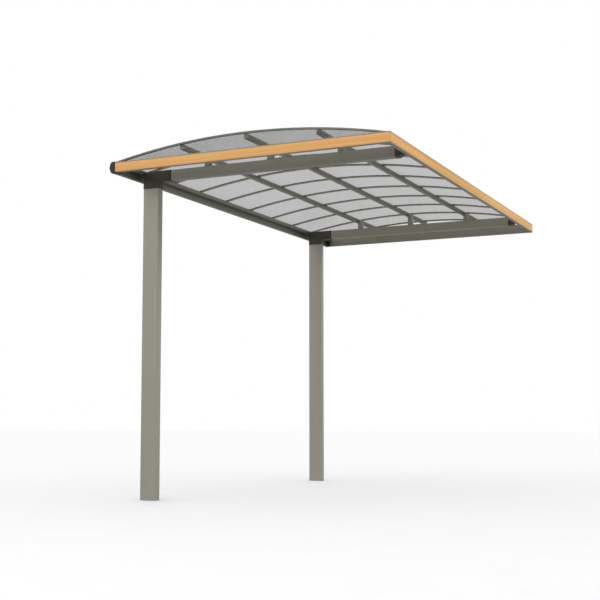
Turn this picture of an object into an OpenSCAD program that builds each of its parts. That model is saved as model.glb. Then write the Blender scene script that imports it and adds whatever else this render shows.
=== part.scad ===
// Cantilever carport: two posts on one side carry two beams, and a shallow
// arched roof of translucent sheets rests on them. Millimetres, +Z up.
// +X runs from the posts to the free edge, +Y from the front to the rear.
// The origin is the middle of the front post's foot.

/* [Roof] */
// roof width, from the gutter's back to the free edge
roof_w = 2700; // [2100:10:3300]
// roof length, along the gutter
roof_l = 4880; // [4600:10:6000]
// clear height, from the ground to the underside of the roof frame
head_h = 2970; // [2000:10:3200]
// rise of the arch above its two ends
arch_rise = 147; // [110:1:240]
// height of the arch's ends above the underside of the roof frame
arch_foot = 90; // [78:1:110]

/* [Posts and beams] */
// post width, across the roof
post_w = 159; // [100:1:200]
// post depth, along the roof
post_d = 80; // [60:1:120]
// wall of the post and beam sections
tube_wall = 4; // [2:0.5:8]
// distance from the front of the roof to the front post
post_inset = 398; // [200:1:600]
// spacing of the two posts
post_gap = 3745; // [2600:5:3900]
// beam height
beam_h = 95; // [70:1:98]
// how far the beam hangs below the roof frame
beam_drop = 27; // [20:1:60]
// gap between the beam's end and the free edge
beam_short = 109; // [60:1:240]
// thickness of the post brackets' walls
sleeve_t = 2; // [1.5:0.5:6]

/* [Frame and fascia] */
// height of the frame rails
rail_h = 92; // [75:1:105]
// depth of the frame rails, with the fascia
rail_d = 41; // [30:1:80]
// thickness of the fascia boards
fascia_t = 15; // [8:1:25]
// lip of the rail above the fascia
lip_top = 9; // [4:1:20]
// lip of the rail below the fascia
lip_low = 4; // [3:1:20]
// how far the rear rail hangs below the other two
rear_drop = 8; // [0:1:15]
// gutter width
gutter_w = 95; // [80:1:130]
// width of the gutter's lower part
gutter_low_w = 50; // [35:1:60]
// wall of the gutter
gutter_t = 4; // [2:0.5:6]

/* [Roof skin] */
// width of an inner rib
rib_w = 30; // [20:1:60]
// height of an inner rib
rib_h = 16; // [14:1:20]
// how far the inner ribs' top lies below that of the end ribs
rib_sink = 4; // [2:1:6]
// width of the two end ribs
end_rib_w = 30; // [24:1:40]
// height of the two end ribs
end_rib_h = 16; // [15:1:22]
// spacing of the ribs in the three front bays
front_bay = 494; // [400:1:560]
// thickness of the sheets
sheet_t = 5; // [3:0.5:7]
// depth of the sheets' top below that of the end ribs
sheet_sink = 8; // [6:1:8]
// purlin width
purlin_w = 42; // [30:1:60]
// purlin height
purlin_h = 40; // [25:1:46]

/* [Hidden] */
$fn = 96;

// the front post's left front corner, measured from the roof's corner
post_x = gutter_w + 3;
org_x = post_x + post_w / 2;
org_y = post_inset + post_d / 2;

// heights above the ground
beam_z0 = head_h - beam_drop;
beam_z1 = beam_z0 + beam_h;
rail_z1 = head_h + rail_h;
fascia_z0 = head_h + lip_low;
fascia_z1 = rail_z1 - lip_top;

// bracket sleeves
post_sleeve_z = beam_z0 - 63;
sleeve_end = post_x + 295;
beam_end = roof_w - beam_short;

// the arch: radius and centre of the end ribs' top line
arch_r = (roof_w * roof_w / 4 + arch_rise * arch_rise) / (2 * arch_rise);
arch_cx = roof_w / 2;
arch_cz = head_h + arch_foot + arch_rise - arch_r;
function arch_z(x) = arch_cz + sqrt(arch_r * arch_r - (x - arch_cx) * (x - arch_cx));
// half the width of the arc that lies a given depth below that line,
// measured 3 above the rails' top, so that what ends there has a blunt end
function half_span(d) = sqrt((arch_r - d) * (arch_r - d)
                             - (rail_z1 + 3 - arch_cz) * (rail_z1 + 3 - arch_cz));

// rib places along the roof: three front bays, then six equal ones
bays = 9;
end_rib = rail_d + 2 - end_rib_w / 2;
last_rib = roof_l - end_rib;
bay = (last_rib - end_rib - 3 * front_bay) / (bays - 3);
function rib_y(i) = end_rib + min(i, 3) * front_bay + max(i - 3, 0) * bay;
function rib_half(i) = (i == 0 || i == bays ? end_rib_w : rib_w) / 2;
// depth of the inner ribs' underside, where the purlins begin
rib_low = rib_sink + rib_h;

// purlins: places across the roof, as parts of its width
purlin_x = roof_w * [0.2689, 0.5070, 0.7626];
purlin_y0 = end_rib - end_rib_w / 2 + 14;
purlin_y1 = roof_l - purlin_y0;
stub_w = 40;
stub_lap = 8;
stub_d = 62;

// gutter
gutter_lip_z = arch_z(gutter_w - gutter_t) - rib_low - 4;
gutter_step_z = head_h + 47;
cap_x = 45;

metal = [0.50, 0.49, 0.44];
post_metal = [0.56, 0.55, 0.50];
dark = [0.19, 0.17, 0.15];
timber = [0.88, 0.65, 0.40];
sheet_grey = [0.70, 0.70, 0.71];

// moves from roof measure (from the front corner above the gutter's back)
// to the part's own frame
module from_corner() { translate([-org_x, -org_y, 0]) children(); }

// a flat x-z outline made into a solid from y0 to y1
module run(y0, y1) {
    translate([0, y1, 0]) rotate([90, 0, 0]) linear_extrude(y1 - y0) children();
}

// the band between two arcs, given as depths below the end ribs' top line
module arch_band(d0, d1, x0, x1, z_min) {
    intersection() {
        difference() {
            translate([arch_cx, arch_cz]) circle(arch_r - d0, $fn = 2880);
            translate([arch_cx, arch_cz]) circle(arch_r - d1, $fn = 2880);
        }
        translate([x0, z_min]) square([x1 - x0, 600]);
    }
}

// hollow upright with a closed foot
module post(y) {
    color(post_metal) from_corner() translate([post_x, y, 0]) difference() {
        cube([post_w, post_d, beam_z0]);
        translate([tube_wall, tube_wall, 10])
            cube([post_w - 2 * tube_wall, post_d - 2 * tube_wall, beam_z0]);
    }
}

// hollow cantilever arm
module beam(y) {
    color(metal) from_corner() translate([post_x, y, beam_z0]) difference() {
        cube([beam_end - post_x, post_d, beam_h]);
        translate([-1, tube_wall, tube_wall])
            cube([beam_end - post_x + 2, post_d - 2 * tube_wall, beam_h - 2 * tube_wall]);
    }
}

// one piece that sleeves the post's top and the beam's start
module post_bracket(y) {
    t = sleeve_t;
    color(dark) from_corner() difference() {
        union() {
            translate([post_x - t, y - t, post_sleeve_z])
                cube([post_w + 2 * t, post_d + 2 * t, beam_z1 + t - post_sleeve_z]);
            translate([post_x, y - t, beam_z0 - t])
                cube([sleeve_end - post_x, post_d + 2 * t, beam_h + 2 * t]);
        }
        translate([post_x, y, post_sleeve_z - 1])
            cube([post_w, post_d, beam_z1 - post_sleeve_z + 1]);
        translate([post_x, y, beam_z0])
            cube([sleeve_end, post_d, beam_h]);
    }
}

// chamfered end of the beam, which carries the side rail by its inner face
module beam_shoe(y) {
    reach = roof_w - rail_d - beam_end;
    color(dark) from_corner() run(y, y + post_d) polygon([
        [beam_end, beam_z0],
        [beam_end + reach * 0.43, beam_z0],
        [roof_w - rail_d, head_h - 10],
        [roof_w - rail_d, beam_z1 - 5],
        [beam_end, beam_z1]
    ]);
}

// box purlin, laid square to the arch above it
module purlin(i) {
    x = purlin_x[i];
    lean = asin((x - arch_cx) / arch_r);
    color(metal) from_corner()
        translate([arch_cx, 0, arch_cz]) rotate([0, lean, 0])
        translate([-purlin_w / 2, purlin_y0, arch_r - rib_low - purlin_h]) difference() {
            cube([purlin_w, purlin_y1 - purlin_y0, purlin_h]);
            translate([3, 3, 3])
                cube([purlin_w - 6, purlin_y1 - purlin_y0 - 6, purlin_h - 6]);
        }
}

// short upright on the beam, which laps the purlin's side and a little of its underside
module stub(i, y) {
    lean = asin((purlin_x[i] - arch_cx) / arch_r);
    under = arch_r - rib_low - purlin_h;
    x = arch_cx + under * sin(lean) + purlin_w / 2 * cos(lean) - stub_lap;
    yc = y + post_d / 2;
    color(metal) from_corner() difference() {
        translate([x, yc - stub_d / 2, beam_z1]) cube([stub_w + stub_lap, stub_d, 140]);
        translate([arch_cx, yc - 100, arch_cz]) rotate([0, lean, 0]) {
            translate([-200, 0, under]) cube([200 + purlin_w / 2, 200, 400]);
            translate([-200, 0, under + purlin_h / 2]) cube([400, 200, 400]);
        }
    }
}

// stepped open channel along the posts' side
module gutter() {
    t = gutter_t;
    z0 = head_h - 8;
    zs = gutter_step_z;
    zl = gutter_lip_z;
    zo = head_h + arch_foot + 3;
    lw = gutter_low_w;
    gw = gutter_w;
    color(metal) from_corner() run(rail_d, roof_l - rail_d) polygon([
        [10, z0], [lw, z0], [lw, zs], [gw, zs], [gw, zl], [gw - t, zl],
        [gw - t, zs + t], [lw - t, zs + t], [lw - t, z0 + t], [10 + t / 2, z0 + t],
        [t, z0 + 10 + t / 2], [t, zo], [0, zo], [0, z0 + 10]
    ]);
}

// moulded end of the gutter with a bulging outer side
module gutter_cap(y0, y1) {
    out = 16;
    z0 = head_h - 9;
    h = rail_h + 15;
    r = (h * h / 4 + 24 * 24) / 48;
    color(dark) from_corner() run(y0, y1) intersection() {
        translate([-out - 1, z0]) square([cap_x + out + 1, h]);
        translate([r - out, z0 + h / 2]) circle(r, $fn = 256);
    }
}

// rail outline, measured inward from its outer face; drop lowers its underside
module rail_outline(drop = 0) {
    polygon([
        [0, head_h - drop], [rail_d, head_h - drop], [rail_d, rail_z1], [0, rail_z1],
        [0, fascia_z1], [fascia_t, fascia_z1], [fascia_t, fascia_z0], [0, fascia_z0]
    ]);
}

module fascia_outline() {
    translate([0, fascia_z0]) square([fascia_t, fascia_z1 - fascia_z0]);
}

// an outline swept along the front edge, mitred at the free corner
module along_front(x0) {
    difference() {
        translate([x0, 0, 0]) rotate([90, 0, 90]) linear_extrude(roof_w - x0) children();
        translate([roof_w, 0, 0]) rotate([0, 0, 45]) translate([0, -400, 0])
            cube([400, 800, 4000]);
    }
}

// an outline swept along the free edge, mitred at both corners
module along_side() {
    intersection() {
        translate([roof_w, 0, 0]) mirror([1, 0, 0])
            translate([0, roof_l, 0]) rotate([90, 0, 0]) linear_extrude(roof_l) children();
        linear_extrude(4000) polygon([
            [roof_w, 0], [roof_w, roof_l],
            [roof_w - 300, roof_l - 300], [roof_w - 300, 300]
        ]);
    }
}

// an outline swept along the rear edge: the front one turned over
module along_rear(x0) {
    translate([0, roof_l, 0]) mirror([0, 1, 0]) along_front(x0) children();
}

// arched bar; the end ones sit on the rail, the others run into the gutter
module rib(i) {
    at_end = i == 0 || i == bays;
    y = rib_y(i);
    half = min(half_span(0), arch_cx - cap_x);
    color(metal) from_corner() run(y - rib_half(i), y + rib_half(i))
        arch_band(at_end ? 0 : rib_sink, at_end ? end_rib_h : rib_low,
                  at_end ? arch_cx - half : 20,
                  at_end ? arch_cx + half : roof_w - rail_d,
                  at_end ? rail_z1 : head_h);
}

// bent sheet between two ribs
module sheet(i) {
    y0 = rib_y(i - 1) + rib_half(i - 1);
    y1 = rib_y(i) - rib_half(i);
    color(sheet_grey) from_corner() run(y0, y1)
        arch_band(sheet_sink, sheet_sink + sheet_t, 20, roof_w - rail_d, head_h);
}

// flat pane under an end rib
module gable_pane(y) {
    half = half_span(end_rib_h);
    color(sheet_grey) from_corner() run(y - 3, y + 3) intersection() {
        translate([arch_cx, arch_cz]) circle(arch_r - end_rib_h, $fn = 2880);
        translate([arch_cx - half, rail_z1]) square([2 * half, 600]);
    }
}

module front_post() { post(post_inset); }
module rear_post() { post(post_inset + post_gap); }
module front_post_bracket() { post_bracket(post_inset); }
module rear_post_bracket() { post_bracket(post_inset + post_gap); }
module front_beam() { beam(post_inset); }
module rear_beam() { beam(post_inset + post_gap); }
module front_beam_shoe() { beam_shoe(post_inset); }
module rear_beam_shoe() { beam_shoe(post_inset + post_gap); }
module purlin_inner() { purlin(0); }
module purlin_middle() { purlin(1); }
module purlin_outer() { purlin(2); }
module front_stub_inner() { stub(0, post_inset); }
module front_stub_middle() { stub(1, post_inset); }
module front_stub_outer() { stub(2, post_inset); }
module rear_stub_inner() { stub(0, post_inset + post_gap); }
module rear_stub_middle() { stub(1, post_inset + post_gap); }
module rear_stub_outer() { stub(2, post_inset + post_gap); }
module gutter_front_cap() { gutter_cap(0, rail_d); }
module gutter_rear_cap() { gutter_cap(roof_l - rail_d, roof_l); }
module front_rail() { color(metal) from_corner() along_front(cap_x) rail_outline(); }
module side_rail() { color(metal) from_corner() along_side() rail_outline(); }
module rear_rail() { color(metal) from_corner() along_rear(cap_x) rail_outline(rear_drop); }
module front_fascia() { color(timber) from_corner() along_front(cap_x) fascia_outline(); }
module side_fascia() { color(timber) from_corner() along_side() fascia_outline(); }
module rear_fascia() { color(timber) from_corner() along_rear(cap_x) fascia_outline(); }
module front_end_rib() { rib(0); }
module rib_1() { rib(1); }
module rib_2() { rib(2); }
module rib_3() { rib(3); }
module rib_4() { rib(4); }
module rib_5() { rib(5); }
module rib_6() { rib(6); }
module rib_7() { rib(7); }
module rib_8() { rib(8); }
module rear_end_rib() { rib(9); }
module roof_sheet_1() { sheet(1); }
module roof_sheet_2() { sheet(2); }
module roof_sheet_3() { sheet(3); }
module roof_sheet_4() { sheet(4); }
module roof_sheet_5() { sheet(5); }
module roof_sheet_6() { sheet(6); }
module roof_sheet_7() { sheet(7); }
module roof_sheet_8() { sheet(8); }
module roof_sheet_9() { sheet(9); }
module front_gable_pane() { gable_pane(end_rib - end_rib_w / 2 + 11); }
module rear_gable_pane() { gable_pane(last_rib + end_rib_w / 2 - 11); }

front_post();
rear_post();
front_post_bracket();
rear_post_bracket();
front_beam();
rear_beam();
front_beam_shoe();
rear_beam_shoe();
purlin_inner();
purlin_middle();
purlin_outer();
front_stub_inner();
front_stub_middle();
front_stub_outer();
rear_stub_inner();
rear_stub_middle();
rear_stub_outer();
gutter();
gutter_front_cap();
gutter_rear_cap();
front_rail();
side_rail();
rear_rail();
front_fascia();
side_fascia();
rear_fascia();
front_end_rib();
rib_1();
rib_2();
rib_3();
rib_4();
rib_5();
rib_6();
rib_7();
rib_8();
rear_end_rib();
roof_sheet_1();
roof_sheet_2();
roof_sheet_3();
roof_sheet_4();
roof_sheet_5();
roof_sheet_6();
roof_sheet_7();
roof_sheet_8();
roof_sheet_9();
front_gable_pane();
rear_gable_pane();
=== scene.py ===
import math

import bmesh
import bpy
from mathutils import Matrix, Vector


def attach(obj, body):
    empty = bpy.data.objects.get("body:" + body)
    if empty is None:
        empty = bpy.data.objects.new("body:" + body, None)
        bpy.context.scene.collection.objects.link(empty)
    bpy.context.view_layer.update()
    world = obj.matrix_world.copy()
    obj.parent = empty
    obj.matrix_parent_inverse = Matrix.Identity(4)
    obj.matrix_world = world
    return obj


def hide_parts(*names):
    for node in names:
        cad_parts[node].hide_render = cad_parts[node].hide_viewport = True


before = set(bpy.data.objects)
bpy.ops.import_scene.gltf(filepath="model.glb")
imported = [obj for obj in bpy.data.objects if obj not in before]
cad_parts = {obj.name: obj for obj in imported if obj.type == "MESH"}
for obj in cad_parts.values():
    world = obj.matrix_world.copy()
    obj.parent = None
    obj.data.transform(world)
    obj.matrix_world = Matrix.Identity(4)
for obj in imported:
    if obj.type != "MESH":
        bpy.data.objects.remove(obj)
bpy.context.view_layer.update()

# ---------------------------------------------------------------- measures
# Millimetres, from the roof's front corner above the gutter's back, as the
# construction has them. row() turns them into metres in the row frame.
ROOF_W, ROOF_L, HEAD = 2700.0, 4880.0, 2970.0
OX, OY = 177.5, 438.0
RISE, FOOT = 147.0, 90.0
ARCH_R = (ROOF_W * ROOF_W / 4 + RISE * RISE) / (2 * RISE)
ARCH_CX, ARCH_CZ = ROOF_W / 2, HEAD + FOOT + RISE - ARCH_R
POST_X, POST_W, POST_D = 98.0, 159.0, 80.0
POST_Y = {"front": 398.0, "rear": 4143.0}
BEAM_Z0, BEAM_Z1, BEAM_END = 2943.0, 3038.0, 2591.0
SLEEVE_T, SLEEVE_Z, SLEEVE_END = 2.0, 2880.0, 393.0
RAIL_D, RAIL_Z1 = 41.0, 3062.0
FASCIA_T, FASCIA_Z0, FASCIA_Z1 = 15.0, 2974.0, 3053.0
CAP_X = 45.0
RIB_W, RIB_TOP, RIB_LOW = 30.0, 4.0, 20.0
END_RIB_W, END_RIB_H = 30.0, 16.0
REAR_DROP = 8.0
RIB_Y = [28.0 + 494.0 * min(k, 3) + 557.0 * max(k - 3, 0) for k in range(10)]
PURLIN_X = {"inner": 0.2689 * ROOF_W, "middle": 0.5070 * ROOF_W, "outer": 0.7626 * ROOF_W}
PURLIN_W, PURLIN_H, PURLIN_Y0, PURLIN_Y1 = 42.0, 40.0, 27.0, 4853.0
STUB_W, STUB_D, STUB_LAP = 40.0, 62.0, 8.0
SHEET_SINK, SHEET_T = 8.0, 5.0


def row(p):
    return Vector(((p[0] - OX) / 1000, (p[1] - OY) / 1000, p[2] / 1000))


def arch(x, depth=0.0):
    """Height of the arc that lies depth below the end ribs' top line."""
    r = ARCH_R - depth
    return ARCH_CZ + math.sqrt(r * r - (x - ARCH_CX) ** 2)


# ---------------------------------------------------------------- mesh code
def make(name, bm, smooth=None):
    bmesh.ops.recalc_face_normals(bm, faces=bm.faces)
    me = bpy.data.meshes.new(name)
    bm.to_mesh(me)
    bm.free()
    if smooth is not None:
        for p in me.polygons:
            p.use_smooth = True
        me.set_sharp_from_angle(angle=math.radians(smooth))
    ob = bpy.data.objects.new(name, me)
    bpy.context.scene.collection.objects.link(ob)
    return ob


def prism(bm, outline, c0, c1, place):
    """A solid from a flat outline. c0 and c1 are numbers, or take a point of the outline, for a mitre."""
    at0 = c0 if callable(c0) else (lambda a, b: c0)
    at1 = c1 if callable(c1) else (lambda a, b: c1)
    lo = [bm.verts.new(row(place(a, b, at0(a, b)))) for a, b in outline]
    hi = [bm.verts.new(row(place(a, b, at1(a, b)))) for a, b in outline]
    n = len(outline)
    faces = [bm.faces.new(lo[::-1]), bm.faces.new(hi)]
    for i in range(n):
        j = (i + 1) % n
        faces.append(bm.faces.new((lo[i], lo[j], hi[j], hi[i])))
    bmesh.ops.recalc_face_normals(bm, faces=faces)
    return faces


def soften(bm, width, segments=2, angle=25.0, pick=None):
    """Rounds the edges that are sharper than angle."""
    bm.normal_update()
    edges = [
        e
        for e in bm.edges
        if len(e.link_faces) == 2
        and e.calc_face_angle(0) > math.radians(angle)
        and (pick is None or pick(e))
    ]
    bmesh.ops.bevel(
        bm,
        geom=edges,
        offset=width / 1000,
        offset_type="OFFSET",
        segments=segments,
        profile=0.5,
        affect="EDGES",
        clamp_overlap=True,
    )


def along(axis):
    """Picks the edges that run along an axis."""

    def pick(e):
        d = (e.verts[1].co - e.verts[0].co).normalized()
        return abs(d[axis]) > 0.99

    return pick


def xz(a, b, c):
    return (a, c, b)


def yz(a, b, c):
    return (c, a, b)


def xy(a, b, c):
    return (a, b, c)


def rect(a0, a1, b0, b1):
    return [(a0, b0), (a1, b0), (a1, b1), (a0, b1)]


def rounded(points, radii, steps=4):
    """An outline with its corners replaced by arcs."""
    out = []
    n = len(points)
    for i, (p, r) in enumerate(zip(points, radii)):
        if r <= 0:
            out.append(p)
            continue
        p = Vector(p)
        a = (Vector(points[i - 1]) - p).normalized()
        b = (Vector(points[(i + 1) % n]) - p).normalized()
        half = a.angle(b) / 2
        t = r / math.tan(half)
        centre = p + (a + b).normalized() * (r / math.sin(half))
        s, e = p + a * t - centre, p + b * t - centre
        turn = s.angle_signed(e)
        for k in range(steps + 1):
            q = Matrix.Rotation(-turn * k / steps, 2) @ s
            out.append(tuple(centre + q))
    return out


def sweep_arch(bm, section, xs, z_min=None):
    """A closed section of (y, depth below the end ribs' top line) swept across the roof."""
    rings = []
    for x in xs:
        ring = []
        for y, d in section:
            z = arch(x, d)
            if z_min is not None:
                z = max(z, z_min)
            ring.append(bm.verts.new(row((x, y, z))))
        rings.append(ring)
    n = len(section)
    for r, s in zip(rings, rings[1:]):
        for i in range(n):
            j = (i + 1) % n
            bm.faces.new((r[i], r[j], s[j], s[i]))
    bm.faces.new(rings[0][::-1])
    bm.faces.new(rings[-1])


def spread(a, b, n):
    return [a + (b - a) * k / n for k in range(n + 1)]


def dome(bm, centre, normal, radius, height, skirt=0.0, sides=14, socket=True):
    """A fastener's head: a low skirt, a domed top and a round recess."""
    z = Vector(normal).normalized()
    x = z.orthogonal().normalized()
    y = z.cross(x)
    c = row(centre)

    def ring(r, h, n=sides, turn=0.0):
        return [
            bm.verts.new(
                c
                + (x * math.cos(2 * math.pi * (k + turn) / n) + y * math.sin(2 * math.pi * (k + turn) / n)) * (r / 1000)
                + z * (h / 1000)
            )
            for k in range(n)
        ]

    rings = [
        ring(radius, -0.5),
        ring(radius, skirt + height * 0.25),
        ring(radius * 0.93, skirt + height * 0.6),
        ring(radius * 0.72, skirt + height * 0.9),
        ring(radius * 0.5, skirt + height),
    ]
    if socket:
        rings += [ring(radius * 0.42, skirt + height), ring(radius * 0.4, skirt + height * 0.45)]
    for r, s in zip(rings, rings[1:]):
        for k in range(sides):
            j = (k + 1) % sides
            bm.faces.new((r[k], r[j], s[j], s[k]))
    bm.faces.new(rings[-1])
    bm.faces.new(rings[0][::-1])


# ---------------------------------------------------------------- materials
def material(name):
    m = bpy.data.materials.new(name)
    m.use_nodes = True
    nt = m.node_tree
    nt.nodes.clear()
    out = nt.nodes.new("ShaderNodeOutputMaterial")
    bsdf = nt.nodes.new("ShaderNodeBsdfPrincipled")
    nt.links.new(bsdf.outputs["BSDF"], out.inputs["Surface"])
    return m, nt, bsdf


def noise(nt, scale, size=1.0, detail=3.0, rough=0.5, distortion=0.0):
    """Noise in object space. scale is three numbers per metre."""
    co = nt.nodes.new("ShaderNodeTexCoord")
    mp = nt.nodes.new("ShaderNodeMapping")
    mp.inputs["Scale"].default_value = scale
    nz = nt.nodes.new("ShaderNodeTexNoise")
    nz.inputs["Scale"].default_value = size
    nz.inputs["Detail"].default_value = detail
    nz.inputs["Roughness"].default_value = rough
    nz.inputs["Distortion"].default_value = distortion
    nt.links.new(co.outputs["Object"], mp.inputs["Vector"])
    nt.links.new(mp.outputs["Vector"], nz.inputs["Vector"])
    return nz.outputs["Fac"]


def ramp(nt, fac, stops):
    r = nt.nodes.new("ShaderNodeValToRGB")
    el = r.color_ramp.elements
    while len(el) < len(stops):
        el.new(0.5)
    for e, (pos, col) in zip(el, stops):
        e.position = pos
        e.color = (*col, 1.0)
    nt.links.new(fac, r.inputs["Fac"])
    return r.outputs["Color"]


def ranged(nt, fac, lo, hi, f0=0.3, f1=0.7):
    m = nt.nodes.new("ShaderNodeMapRange")
    m.inputs["From Min"].default_value = f0
    m.inputs["From Max"].default_value = f1
    m.inputs["To Min"].default_value = lo
    m.inputs["To Max"].default_value = hi
    nt.links.new(fac, m.inputs["Value"])
    return m.outputs["Result"]


def blend_colour(nt, mode, fac, a, b):
    m = nt.nodes.new("ShaderNodeMix")
    m.data_type = "RGBA"
    m.blend_type = mode
    m.inputs[0].default_value = fac
    nt.links.new(a, m.inputs[6])
    nt.links.new(b, m.inputs[7])
    return m.outputs[2]


def bump(nt, bsdf, height, strength, distance):
    b = nt.nodes.new("ShaderNodeBump")
    b.inputs["Strength"].default_value = strength
    b.inputs["Distance"].default_value = distance
    nt.links.new(height, b.inputs["Height"])
    nt.links.new(b.outputs["Normal"], bsdf.inputs["Normal"])


def scaled(c, k):
    return tuple(min(v * k, 1.0) for v in c)


def streaks(axis, lengthwise, across):
    s = [across, across, across]
    s[axis] = lengthwise
    return s


def painted_shade(nt, colour, inward, *tones):
    """Paints shade into a piece's colour: darkens it where x lies beyond inward[0] to inward[1]. Each tone is an axis,
    a span and its stops.
    """
    co = nt.nodes.new("ShaderNodeTexCoord")
    split = nt.nodes.new("ShaderNodeSeparateXYZ")
    nt.links.new(co.outputs["Object"], split.inputs["Vector"])
    where = ranged(nt, split.outputs["X"], 0.0, 1.0, *inward)
    for axis, span, stops in tones:
        tone = ramp(nt, ranged(nt, split.outputs[axis], 0.0, 1.0, *span), [(k, (v, v, v)) for k, v in stops])
        mixed = nt.nodes.new("ShaderNodeMix")
        mixed.data_type = "RGBA"
        mixed.blend_type = "MULTIPLY"
        nt.links.new(where, mixed.inputs[0])
        nt.links.new(colour, mixed.inputs[6])
        nt.links.new(tone, mixed.inputs[7])
        colour = mixed.outputs[2]
    return colour


def aluminium(name, axis, colour, metal=0.25, rough=(0.36, 0.5), shade_tones=None):
    """Anodised extrusion: faint draw lines along its length, slow changes of tone, satin sheen."""
    m, nt, bsdf = material(name)
    fine = noise(nt, streaks(axis, 0.9, 420.0), detail=3.0, rough=0.6)
    slow = noise(nt, streaks(axis, 0.7, 5.0), detail=2.0)
    lines = ramp(nt, fine, [(0.30, scaled(colour, 0.93)), (0.55, colour), (0.75, scaled(colour, 1.05))])
    tone = ramp(nt, slow, [(0.3, (0.94, 0.94, 0.945)), (0.7, (1.0, 1.0, 0.995))])
    col = blend_colour(nt, "MULTIPLY", 1.0, lines, tone)
    # where shade tones are given, painted shade darkens the colour
    nt.links.new(painted_shade(nt, col, *shade_tones) if shade_tones else col, bsdf.inputs["Base Color"])
    nt.links.new(ranged(nt, fine, *rough), bsdf.inputs["Roughness"])
    bsdf.inputs["Metallic"].default_value = metal
    bsdf.inputs["Specular IOR Level"].default_value = 0.45
    bump(nt, bsdf, fine, 0.12, 0.0004)
    return m


def casting(name, colour, gloss=0.4):
    """Dark powder coat with a fine pebbled skin."""
    m, nt, bsdf = material(name)
    peel = noise(nt, (700.0, 700.0, 700.0), detail=2.0)
    slow = noise(nt, (6.0, 6.0, 6.0), detail=3.0)
    col = ramp(nt, slow, [(0.3, scaled(colour, 0.85)), (0.7, scaled(colour, 1.15))])
    nt.links.new(col, bsdf.inputs["Base Color"])
    nt.links.new(ranged(nt, peel, 0.42, 0.62), bsdf.inputs["Roughness"])
    bsdf.inputs["Specular IOR Level"].default_value = gloss
    bump(nt, bsdf, peel, 0.25, 0.0004)
    return m


def timber(name, axis, tint, strong):
    """Pale wood film with straight grain along the board, narrow pores and slow bands."""
    m, nt, bsdf = material(name)
    bands = noise(nt, streaks(axis, 0.55, 26.0), detail=4.0, rough=0.55, distortion=0.35)
    figure = noise(nt, streaks(axis, 0.22, 62.0), detail=2.0, rough=0.5, distortion=0.15)
    grain = noise(nt, streaks(axis, 2.2, 210.0), detail=5.0, rough=0.65)
    pores = noise(nt, streaks(axis, 9.0, 900.0), detail=2.0, rough=0.5)
    base = ramp(
        nt,
        bands,
        [
            (pos, tuple(v * k for v, k in zip(c, tint)))
            for pos, c in (
                (0.25, (0.655, 0.318, 0.086)),
                (0.45, (0.740, 0.381, 0.114)),
                (0.62, (0.792, 0.425, 0.136)),
                (0.80, (0.850, 0.475, 0.165)),
            )
        ],
    )
    fine = ramp(nt, grain, [(0.30, (0.86, 0.83, 0.78)), (0.52, (0.97, 0.96, 0.95)), (0.72, (1.0, 1.0, 1.0))])
    pits = ramp(nt, pores, [(0.26, (0.80, 0.74, 0.66)), (0.36, (1.0, 1.0, 1.0))])
    lines = ramp(nt, figure, [(0.32, (0.84, 0.80, 0.72)), (0.46, (0.97, 0.96, 0.95)), (0.60, (1.03, 1.03, 1.03))])
    col = blend_colour(nt, "MULTIPLY", 1.0, blend_colour(nt, "MULTIPLY", 1.0, base, fine), pits)
    col = blend_colour(nt, "MULTIPLY", strong, col, lines)
    nt.links.new(col, bsdf.inputs["Base Color"])
    nt.links.new(ranged(nt, grain, 0.46, 0.62), bsdf.inputs["Roughness"])
    bsdf.inputs["Specular IOR Level"].default_value = 0.14
    bump(nt, bsdf, grain, 0.18, 0.0005)
    return m


def smoked(name, colour, alpha, rough):
    """Tinted polycarbonate: see-through, with faint lines of the extrusion and a soft gloss."""
    m, nt, bsdf = material(name)
    lines = noise(nt, (2.0, 90.0, 2.0), detail=2.0)
    slow = noise(nt, (1.6, 1.6, 1.6), detail=3.0)
    col = ramp(nt, slow, [(0.3, scaled(colour, 0.98)), (0.7, scaled(colour, 1.02))])
    nt.links.new(col, bsdf.inputs["Base Color"])
    nt.links.new(ranged(nt, lines, *rough), bsdf.inputs["Roughness"])
    bsdf.inputs["Alpha"].default_value = alpha
    bsdf.inputs["IOR"].default_value = 1.5
    bump(nt, bsdf, lines, 0.03, 0.0003)
    return m


def rubber(name):
    m, nt, bsdf = material(name)
    grit = noise(nt, (900.0, 900.0, 900.0), detail=2.0)
    col = ramp(nt, grit, [(0.3, (0.012, 0.012, 0.012)), (0.7, (0.026, 0.026, 0.025))])
    nt.links.new(col, bsdf.inputs["Base Color"])
    nt.links.new(ranged(nt, grit, 0.62, 0.85), bsdf.inputs["Roughness"])
    bsdf.inputs["Specular IOR Level"].default_value = 0.25
    return m


def steel(name):
    m, nt, bsdf = material(name)
    grit = noise(nt, (1200.0, 1200.0, 300.0), detail=2.0)
    col = ramp(nt, grit, [(0.3, (0.42, 0.42, 0.40)), (0.7, (0.56, 0.56, 0.54))])
    nt.links.new(col, bsdf.inputs["Base Color"])
    nt.links.new(ranged(nt, grit, 0.26, 0.42), bsdf.inputs["Roughness"])
    bsdf.inputs["Metallic"].default_value = 1.0
    return m


POST_C = (0.302, 0.290, 0.234)
FRAME_C = (0.270, 0.258, 0.204)
ALU_POST = aluminium("post_aluminium_z", 2, POST_C)
ALU_X = aluminium("frame_aluminium_x", 0, FRAME_C)
ALU_Y = aluminium("frame_aluminium_y", 1, FRAME_C)
ALU_Z = aluminium("frame_aluminium_z", 2, FRAME_C)
ALU_RIB = aluminium("frame_aluminium_rib", 0, scaled(FRAME_C, 1.25))
ALU_END_RIB = aluminium("frame_aluminium_end_rib", 0, scaled(FRAME_C, 0.9))
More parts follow.
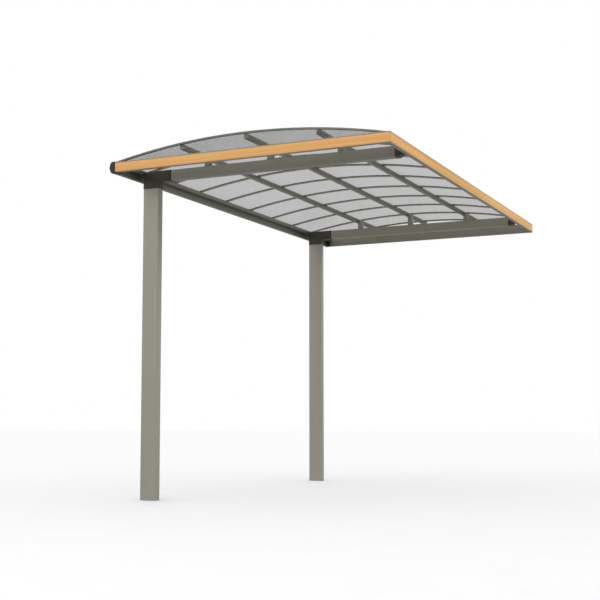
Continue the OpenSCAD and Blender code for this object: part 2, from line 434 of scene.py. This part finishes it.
# painted shade: the purlins' sides take a darker copy of the frame aluminium, darker still from the front beam towards
# the rear; their underside and ends take the plain frame aluminium
PURLIN_PAINTED_SHADE = ((-10.0, -9.0), ("Y", (-0.42, 4.40), [(0.00, 1.00), (0.08, 0.97), (0.13, 0.86), (0.20, 0.72), (0.34, 0.64), (1.00, 0.55)]))
ALU_PURLIN_SHADED = aluminium("frame_aluminium_purlin_painted_shade", 1, (0.224, 0.212, 0.156), shade_tones=PURLIN_PAINTED_SHADE)
# painted shade: the gutter's inner side is darker towards the two posts and under its ledge
GUTTER_PAINTED_SHADE = (
    (-0.165, -0.145),
    (
        "Y",
        (-0.40, 4.40),
        [
            (0.000, 0.90), (0.034, 0.74), (0.055, 0.58), (0.075, 0.45), (0.092, 0.55), (0.138, 0.92), (0.200, 1.00),
            (0.680, 1.00), (0.784, 0.86), (0.838, 0.64), (0.855, 0.55), (0.888, 0.48), (1.000, 0.42),
        ],
    ),
    ("Z", (2.960, 3.020), [(0.45, 1.00), (0.72, 0.86), (0.87, 0.68), (0.96, 0.58), (1.00, 1.00)]),
)
# painted shade: the gutter as a whole takes a darker copy of the frame aluminium
ALU_GUTTER_SHADED = aluminium("frame_aluminium_gutter_painted_shade", 1, scaled(FRAME_C, 0.79), shade_tones=GUTTER_PAINTED_SHADE)
DARK = casting("dark_casting", (0.050, 0.041, 0.027))
DARK_CAP = casting("dark_cap", (0.034, 0.031, 0.018), 0.22)
WOOD_X = timber("wood_film_x", 0, (1.03, 1.07, 1.25), 0.30)
WOOD_Y = timber("wood_film_y", 1, (1.11, 1.16, 1.11), 0.80)
SHEET = smoked("smoked_sheet", (0.16, 0.16, 0.165), 0.318, (0.30, 0.40))
PANE = smoked("smoked_pane", (0.030, 0.031, 0.034), 0.160, (0.10, 0.18))
RUBBER = rubber("black_gasket")
STEEL = steel("stainless_steel")


def piece(ob, mat, slot, *nodes):
    ob.data.materials.append(mat)
    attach(ob, "root")
    if nodes:
        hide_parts(*nodes)
    return ob


# ---------------------------------------------------------------- posts and beams
for end, y in POST_Y.items():
    y1 = y + POST_D

    bm = bmesh.new()
    prism(bm, rect(POST_X, POST_X + POST_W, y, y1), 0.0, BEAM_Z0, xy)
    soften(bm, 2.4, 3, pick=along(2))
    soften(bm, 1.0, 1, angle=60.0, pick=lambda e: abs(e.verts[0].co.z) < 1e-6 and abs(e.verts[1].co.z) < 1e-6)
    piece(make(end + "_post_visual", bm, 32), ALU_POST, "post_aluminium", end + "_post")

    bm = bmesh.new()
    prism(bm, rect(y, y1, BEAM_Z0, BEAM_Z1), POST_X + 2, BEAM_END, yz)
    soften(bm, 3.0, 3, pick=along(0))
    piece(make(end + "_beam_visual", bm, 32), ALU_X, "frame_aluminium", end + "_beam")

    t = SLEEVE_T
    bm = bmesh.new()
    x_in = POST_X + POST_W + t
    outline = rounded(
        [
            (POST_X - t, SLEEVE_Z),
            (x_in, SLEEVE_Z),
            (x_in, BEAM_Z0 - t),
            (SLEEVE_END, BEAM_Z0 - t),
            (SLEEVE_END, BEAM_Z1 + t),
            (POST_X - t, BEAM_Z1 + t),
        ],
        [0, 0, 4, 0, 0, 0],
    )
    prism(bm, outline, y - t, y1 + t, xz)
    soften(bm, 1.2, 2, angle=40.0)
    for face, normal in ((y - t, (0, -1, 0)), (y1 + t, (0, 1, 0))):
        for bx, bz in ((290, 2964), (362, 2964), (290, 3017), (362, 3017), (136, 2904), (219, 2904)):
            dome(bm, (bx, face, bz), normal, 6.5, 3.4)
    piece(make(end + "_post_bracket_visual", bm, 32), DARK, "dark_fittings", end + "_post_bracket")

    # a dark seal around the sleeve's open end
    bm = bmesh.new()
    o, z0, z1 = 0.5, BEAM_Z0 - t, BEAM_Z1 + t
    for a0, a1, b0, b1 in (
        (y - t - o, y - t + 0.2, z0 - o, z1 + o),
        (y1 + t - 0.2, y1 + t + o, z0 - o, z1 + o),
        (y - t + 0.2, y1 + t - 0.2, z0 - o, z0 + 0.2),
        (y - t + 0.2, y1 + t - 0.2, z1 - 0.2, z1 + o),
    ):
        prism(bm, rect(a0, a1, b0, b1), SLEEVE_END - 12, SLEEVE_END + 1, yz)
    piece(make(end + "_bracket_seal", bm, 28), RUBBER, "dark_fittings")

    bm = bmesh.new()
    reach = ROOF_W - RAIL_D - BEAM_END
    outline = [
        (BEAM_END, BEAM_Z0),
        (BEAM_END + reach * 0.43, BEAM_Z0),
        (ROOF_W - RAIL_D, HEAD - 10),
        (ROOF_W - RAIL_D, BEAM_Z1 - 5),
        (BEAM_END, BEAM_Z1),
    ]
    prism(bm, outline, y, y1, xz)
    soften(bm, 1.6, 2)
    for face, normal in ((y, (0, -1, 0)), (y1, (0, 1, 0))):
        for bx, bz in ((2610, 2970), (2610, 3012), (2640, 2991)):
            dome(bm, (bx, face, bz), normal, 5.5, 3.0)
    piece(make(end + "_beam_shoe_visual", bm, 32), DARK, "dark_fittings", end + "_beam_shoe")

# ---------------------------------------------------------------- purlins and stubs
for name, x in PURLIN_X.items():
    lean = math.asin((x - ARCH_CX) / ARCH_R)
    turn = Matrix.Rotation(lean, 3, "Y")

    def on_arch(a, b, c, turn=turn):
        """a across the purlin, b up from its underside, c along the roof."""
        v = turn @ Vector((a, 0.0, ARCH_R - RIB_LOW - PURLIN_H + b))
        return (ARCH_CX + v.x, c, ARCH_CZ + v.z)

    w = PURLIN_W / 2
    bm = bmesh.new()
    prism(bm, rect(-w, w, 0, PURLIN_H), PURLIN_Y0 + 3, PURLIN_Y1 - 3, on_arch)
    soften(bm, 2.2, 2, pick=along(1))
    for c0, c1 in ((PURLIN_Y0, PURLIN_Y0 + 2.6), (PURLIN_Y1 - 2.6, PURLIN_Y1)):
        cap = bmesh.new()
        prism(cap, rect(-w + 0.6, w - 0.6, 0.6, PURLIN_H - 0.6), c0, c1, on_arch)
        soften(cap, 4.0, 3, pick=along(1))
        soften(cap, 0.8, 1, angle=60.0)
        me = bpy.data.meshes.new("cap")
        cap.to_mesh(me)
        cap.free()
        bm.from_mesh(me)
        bpy.data.meshes.remove(me)
    purlin = piece(make("purlin_" + name + "_visual", bm, 32), ALU_PURLIN_SHADED, "frame_aluminium", "purlin_" + name)
    # painted shade: the sides keep the darker copy, the underside and ends take the plain frame aluminium
    purlin.data.materials.append(ALU_Y)
    for face in purlin.data.polygons:
        face.material_index = int(face.normal.z < -0.9 or abs(face.normal.y) > 0.9)

    def across(a, b, turn=turn):
        """The same, as x and z."""
        v = on_arch(a, b, 0.0)
        return Vector((v[0], v[2]))

    # a stub stands on the beam and laps the purlin's side up to half its height
    corner, inner = across(w, 0.0), across(w, PURLIN_H / 2)
    xs0, xs1 = corner.x - STUB_LAP, corner.x + STUB_W
    rise = inner.y + (xs1 - inner.x) * -math.tan(lean)
    under = corner.y + (xs0 - corner.x) * -math.tan(lean)
    outline = [(xs0, BEAM_Z1), (xs1, BEAM_Z1), (xs1, rise), (inner.x, inner.y), (corner.x, corner.y), (xs0, under)]
    for end, y in POST_Y.items():
        yc = y + POST_D / 2
        bm = bmesh.new()
        prism(bm, outline, yc - STUB_D / 2, yc + STUB_D / 2, xz)
        soften(bm, 1.2, 2, angle=40.0)
        for dy in (-16, 16):
            dome(bm, (xs1, yc + dy, BEAM_Z1 + 26), (1, 0, 0), 4.5, 2.6, sides=12)
        piece(make(end + "_stub_" + name + "_visual", bm, 32), ALU_Z, "frame_aluminium", end + "_stub_" + name)

# ---------------------------------------------------------------- gutter
gt, zs, gw, lw = 4.0, HEAD + 47, 95.0, 50.0
gz = HEAD - 8
zl = arch(gw - gt) - RIB_LOW - 4
zo = HEAD + FOOT + 3
outline = [
    (10, gz), (lw, gz), (lw, zs), (gw, zs), (gw, zl), (gw - gt, zl),
    (gw - gt, zs + gt), (lw - gt, zs + gt), (lw - gt, gz + gt), (10 + gt / 2, gz + gt),
    (gt, gz + 10 + gt / 2), (gt, zo), (0, zo), (0, gz + 10),
]
bm = bmesh.new()
prism(bm, rounded(outline, [4, 3, 2.5, 3, 1.2, 1.2, 1.5, 1.5, 1.5, 2, 2, 1.2, 1.2, 4], 3), RAIL_D, ROOF_L - RAIL_D, xz)
piece(make("gutter_visual", bm, 28), ALU_GUTTER_SHADED, "frame_aluminium", "gutter")

# dark rubber blocks in the corner under the gutter's ledge, where it meets the end rails: painted shade, dark pieces
# put where that corner lies in shade
bm = bmesh.new()
for y0, y1 in ((RAIL_D, RAIL_D + 30), (ROOF_L - RAIL_D - 30, ROOF_L - RAIL_D)):
    prism(bm, rect(lw - 0.5, lw + 34, gz + 1, zs + 0.5), y0, y1, xz)
soften(bm, 3.0, 2)
piece(make("gutter_corner_shade_blocks", bm, 32), RUBBER, "dark_fittings")

for end, y0, y1 in (("front", 0.0, RAIL_D), ("rear", ROOF_L - RAIL_D, ROOF_L)):
    z0, z1 = HEAD - 9, RAIL_Z1 + 6
    tall = (z1 - z0) / 2
    bulge = (tall * tall + 24 * 24) / 48
    sweep = math.asin(tall / bulge)
    outline = [(CAP_X, z0), (CAP_X, z1)]
    for k in range(25):
        turn_k = sweep * (1 - k / 12)
        outline.append((bulge - 16 - bulge * math.cos(turn_k), (z0 + z1) / 2 + bulge * math.sin(turn_k)))
    bm = bmesh.new()
    prism(bm, outline, y0, y1, xz)
    soften(bm, 2.5, 3, angle=40.0)
    piece(make("gutter_" + end + "_cap_visual", bm, 32), DARK_CAP, "dark_fittings", "gutter_" + end + "_cap")

# ---------------------------------------------------------------- frame rails and fascia boards
def rail_outline(drop):
    z = HEAD - drop
    points = [
        (0, z), (RAIL_D, z), (RAIL_D, RAIL_Z1), (0, RAIL_Z1),
        (0, FASCIA_Z1 + 0.6), (FASCIA_T - 1, FASCIA_Z1 + 0.6), (FASCIA_T - 1, FASCIA_Z0 - 0.6), (0, FASCIA_Z0 - 0.6),
    ]
    return rounded(points, [1.2, 2, 2, 1.2, 0.8, 0, 0, 0.8], 3)


BOARD = rounded(rect(0.4, FASCIA_T - 1, FASCIA_Z0, FASCIA_Z1), [1.5, 0, 0, 1.5], 3)


def front_edge(a, b, c):
    return (c, a, b)


def rear_edge(a, b, c):
    return (c, ROOF_L - a, b)


def side_edge(a, b, c):
    return (ROOF_W - a, c, b)


GAP = 0.4
for name, outline, rear, mats, slot, start in (
    ("rail", rail_outline(0), rail_outline(REAR_DROP), (ALU_X, ALU_Y), "frame_aluminium", CAP_X),
    ("fascia", BOARD, BOARD, (WOOD_X, WOOD_Y), "wood_fascia", CAP_X + 0.6),
):
    for end, place in (("front", front_edge), ("rear", rear_edge)):
        bm = bmesh.new()
        prism(bm, outline if end == "front" else rear, start, lambda a, b: ROOF_W - a - GAP, place)
        piece(make(end + "_" + name + "_visual", bm, 28), mats[0], slot, end + "_" + name)
    bm = bmesh.new()
    prism(bm, outline, lambda a, b: a + GAP, lambda a, b: ROOF_L - a - GAP, side_edge)
    piece(make("side_" + name + "_visual", bm, 28), mats[1], slot, "side_" + name)

# ---------------------------------------------------------------- ribs, sheets and panes
# A rib is a glazing bar: a crowned cover strip, a narrow neck that takes the
# sheets' edges between gaskets, and a box below.
SHEET_LOW = SHEET_SINK + SHEET_T


def bar(h, top, low):
    """A rib's section, h to either side of its middle, as (y, depth)."""
    half = [
        (h * 0.6, top + 0.3), (h - 1.2, top + 0.9), (h, top + 1.8), (h, SHEET_SINK - 1.6), (h - 0.5, SHEET_SINK - 1.3),
        (h - 4, SHEET_SINK - 1.3), (h - 4, SHEET_LOW + 0.7), (h - 0.5, SHEET_LOW + 0.7), (h, SHEET_LOW + 1.2),
        (h, low - 1.5), (h - 0.5, low - 0.5), (h - 1.5, low),
    ]
    return [(0.0, top)] + half + [(-a, d) for a, d in reversed(half)]


def half_span(d):
    return math.sqrt((ARCH_R - d) ** 2 - (RAIL_Z1 + 3 - ARCH_CZ) ** 2)


rib_names = ["front_end_rib"] + ["rib_%d" % k for k in range(1, 9)] + ["rear_end_rib"]
END_HALF = min(half_span(0), ARCH_CX - CAP_X)
for name, y in zip(rib_names, RIB_Y):
    ended = name.endswith("end_rib")
    x0, x1 = (ARCH_CX - END_HALF, ARCH_CX + END_HALF) if ended else (20.0, ROOF_W - RAIL_D)
    section = bar(END_RIB_W / 2, 0.0, END_RIB_H) if ended else bar(RIB_W / 2, RIB_TOP, RIB_LOW)
    bm = bmesh.new()
    sweep_arch(bm, [(y + a, d) for a, d in section], spread(x0, x1, 90), RAIL_Z1 if ended else None)
    piece(make(name + "_visual", bm, 24), ALU_END_RIB if ended else ALU_RIB, "frame_aluminium", name)

RIB_HALF = [END_RIB_W / 2] + [RIB_W / 2] * 8 + [END_RIB_W / 2]
for k in range(1, 10):
    y0, y1 = RIB_Y[k - 1] + RIB_HALF[k - 1] - 3.6, RIB_Y[k] - RIB_HALF[k] + 3.6
    bm = bmesh.new()
    d0, d1 = SHEET_SINK, SHEET_SINK + SHEET_T
    section = [(y0, d0)] + [(y0 + (y1 - y0) * j / 6, d0) for j in range(1, 6)] + [(y1, d0), (y1, d1)]
    section += [(y0 + (y1 - y0) * j / 6, d1) for j in range(5, 0, -1)] + [(y0, d1)]
    sweep_arch(bm, section, spread(20.0, ROOF_W - RAIL_D - 1, 72))
    piece(make("roof_sheet_%d_visual" % k, bm, 24), SHEET, "smoked_sheet", "roof_sheet_%d" % k)

# gaskets along both edges of each sheet, above and below it
bm = bmesh.new()
for k, y in enumerate(RIB_Y):
    for side in (-1, 1):
        if (k == 0 and side < 0) or (k == len(RIB_Y) - 1 and side > 0):
            continue
        for d0, d1, out in ((SHEET_SINK - 1.3, SHEET_SINK, 0.5), (SHEET_LOW, SHEET_LOW + 0.7, -0.6)):
            a, b = sorted((y + side * (RIB_HALF[k] - 3.4), y + side * (RIB_HALF[k] + out)))
            sweep_arch(bm, [(a, d0), (b, d0), (b, d1), (a, d1)], spread(22.0, ROOF_W - RAIL_D - 2, 60))
piece(make("roof_gaskets", bm, 24), RUBBER, "dark_fittings")

# dark clips on either side of each purlin where an inner rib crosses it: painted shade, dark pieces put where the ribs
# shade the purlins' sides
bm = bmesh.new()
for x in PURLIN_X.values():
    turn = Matrix.Rotation(math.asin((x - ARCH_CX) / ARCH_R), 3, "Y")

    def clip_at(a, b, c, turn=turn):
        v = turn @ Vector((a, 0.0, ARCH_R - b))
        return (ARCH_CX + v.x, c, ARCH_CZ + v.z)

    for y in RIB_Y[1:-1]:
        for side in (-1, 1):
            a0, a1 = sorted((side * (PURLIN_W / 2 - 0.5), side * (PURLIN_W / 2 + 7)))
            flank = sorted((side * (PURLIN_W / 2 - 0.5), side * (PURLIN_W / 2 + 2)))
            prism(bm, rect(a0, a1, RIB_LOW - 0.4, RIB_LOW + 2), y - 10, y + 10, clip_at)
            prism(bm, rect(flank[0], flank[1], RIB_LOW + 1.6, RIB_LOW + 14), y - 10, y + 10, clip_at)
piece(make("rib_clips", bm, 28), DARK, "dark_fittings")

# self-tapping screws along the cover strips
bm = bmesh.new()
for k, y in enumerate(RIB_Y):
    ended = k in (0, len(RIB_Y) - 1)
    for x in spread(150.0, ROOF_W - 150.0, 8):
        lean = math.asin((x - ARCH_CX) / ARCH_R)
        dome(bm, (x, y, arch(x, 0.0 if ended else RIB_TOP)), (math.sin(lean), 0, math.cos(lean)), 5.2, 3.0, skirt=0.6, sides=12)
piece(make("cover_strip_screws", bm, 40), STEEL, "frame_aluminium")

for end, y in (("front", 24.0), ("rear", ROOF_L - 24.0)):
    half = half_span(END_RIB_H)
    xs = spread(ARCH_CX - half, ARCH_CX + half, 80)
    outline = [(xs[0], RAIL_Z1), (xs[-1], RAIL_Z1)] + [(x, arch(x, END_RIB_H)) for x in reversed(xs)]
    bm = bmesh.new()
    prism(bm, outline, y - 3, y + 3, xz)
    piece(make(end + "_gable_pane_visual", bm, 24), PANE, "smoked_sheet", end + "_gable_pane")

    # a thin bead along the pane's foot, on the rail
    bm = bmesh.new()
    for a0, a1 in ((y - 8.5, y - 3.0), (y + 3.0, y + 8.5)):
        prism(bm, [(a0, RAIL_Z1 - 0.2), (a1, RAIL_Z1 - 0.2), (a1, RAIL_Z1 + 3.5), (a0, RAIL_Z1 + 3.5)],
              xs[0] - 20, xs[-1] + 20, yz)
    soften(bm, 1.0, 1)
    piece(make(end + "_pane_bead", bm, 28), RUBBER, "dark_fittings")

# ---------------------------------------------------------------- stage, light, camera
bm = bmesh.new()
bmesh.ops.create_grid(bm, x_segments=8, y_segments=8, size=60.0)
floor = make("floor", bm)
m, nt, bsdf = material("pale_floor")
speck = noise(nt, (3.0, 3.0, 3.0), detail=4.0)
nt.links.new(ramp(nt, speck, [(0.3, (0.945, 0.945, 0.945)), (0.7, (0.965, 0.965, 0.965))]), bsdf.inputs["Base Color"])
bsdf.inputs["Roughness"].default_value = 0.9
bsdf.inputs["Specular IOR Level"].default_value = 0.1
floor.data.materials.append(m)
floor.location.z = -0.001
floor.visible_diffuse = False
floor.visible_glossy = False

scene = bpy.context.scene
scene.view_settings.view_transform = "Standard"
scene.view_settings.look = "None"
world = bpy.data.worlds.new("studio")
world.use_nodes = True
nt = world.node_tree
nt.nodes.clear()
out = nt.nodes.new("ShaderNodeOutputWorld")
# a bright dome above, a dim one below; what the camera sees of it is plain white
co = nt.nodes.new("ShaderNodeTexCoord")
split = nt.nodes.new("ShaderNodeSeparateXYZ")
nt.links.new(co.outputs["Generated"], split.inputs["Vector"])
dome_light = nt.nodes.new("ShaderNodeBackground")
level = ranged(nt, split.outputs["Z"], 0.0, 1.0, -1.0, 1.0)
tone = ramp(
    nt,
    level,
    [
        (0.30, (0.34, 0.34, 0.34)),
        (0.48, (0.42, 0.42, 0.42)),
        (0.54, (1.10, 1.10, 1.10)),
        (0.70, (1.10, 1.10, 1.10)),
        (0.85, (0.60, 0.60, 0.60)),
        (1.00, (0.45, 0.45, 0.45)),
    ],
)
nt.links.new(tone, dome_light.inputs["Color"])
dome_light.inputs["Strength"].default_value = 1.4
white = nt.nodes.new("ShaderNodeBackground")
white.inputs["Color"].default_value = (1.0, 1.0, 1.0, 1.0)
white.inputs["Strength"].default_value = 1.0
path = nt.nodes.new("ShaderNodeLightPath")
mix = nt.nodes.new("ShaderNodeMixShader")
nt.links.new(path.outputs["Is Camera Ray"], mix.inputs["Fac"])
nt.links.new(dome_light.outputs["Background"], mix.inputs[1])
nt.links.new(white.outputs["Background"], mix.inputs[2])
nt.links.new(mix.outputs["Shader"], out.inputs["Surface"])
scene.world = world


def area(name, place, target, size, power):
    d = bpy.data.lights.new(name, "AREA")
    d.shape = "RECTANGLE"
    d.size, d.size_y = size
    d.energy = power
    o = bpy.data.objects.new(name, d)
    o.location = place
    o.rotation_euler = (Vector(target) - Vector(place)).to_track_quat("-Z", "Y").to_euler()
    scene.collection.objects.link(o)
    return o


area("soft_key", (1.0, -9.5, 6.5), (1.2, 2.0, 1.6), (6.0, 6.0), 70.0)

cam = bpy.data.cameras.new("photo_camera")
cam.sensor_width = 36.0
cam.sensor_fit = "HORIZONTAL"
cam.lens = 1135.62 * 36.0 / 600.0
cam.shift_x = 0.00727
cam.shift_y = 0.02787
cam.clip_end = 300.0
camera = bpy.data.objects.new("photo_camera", cam)
camera.location = (5.6526, -8.9284, 0.7276)
camera.rotation_euler = (math.radians(95.2085), 0.0, math.radians(25.088))
scene.collection.objects.link(camera)
scene.camera = camera
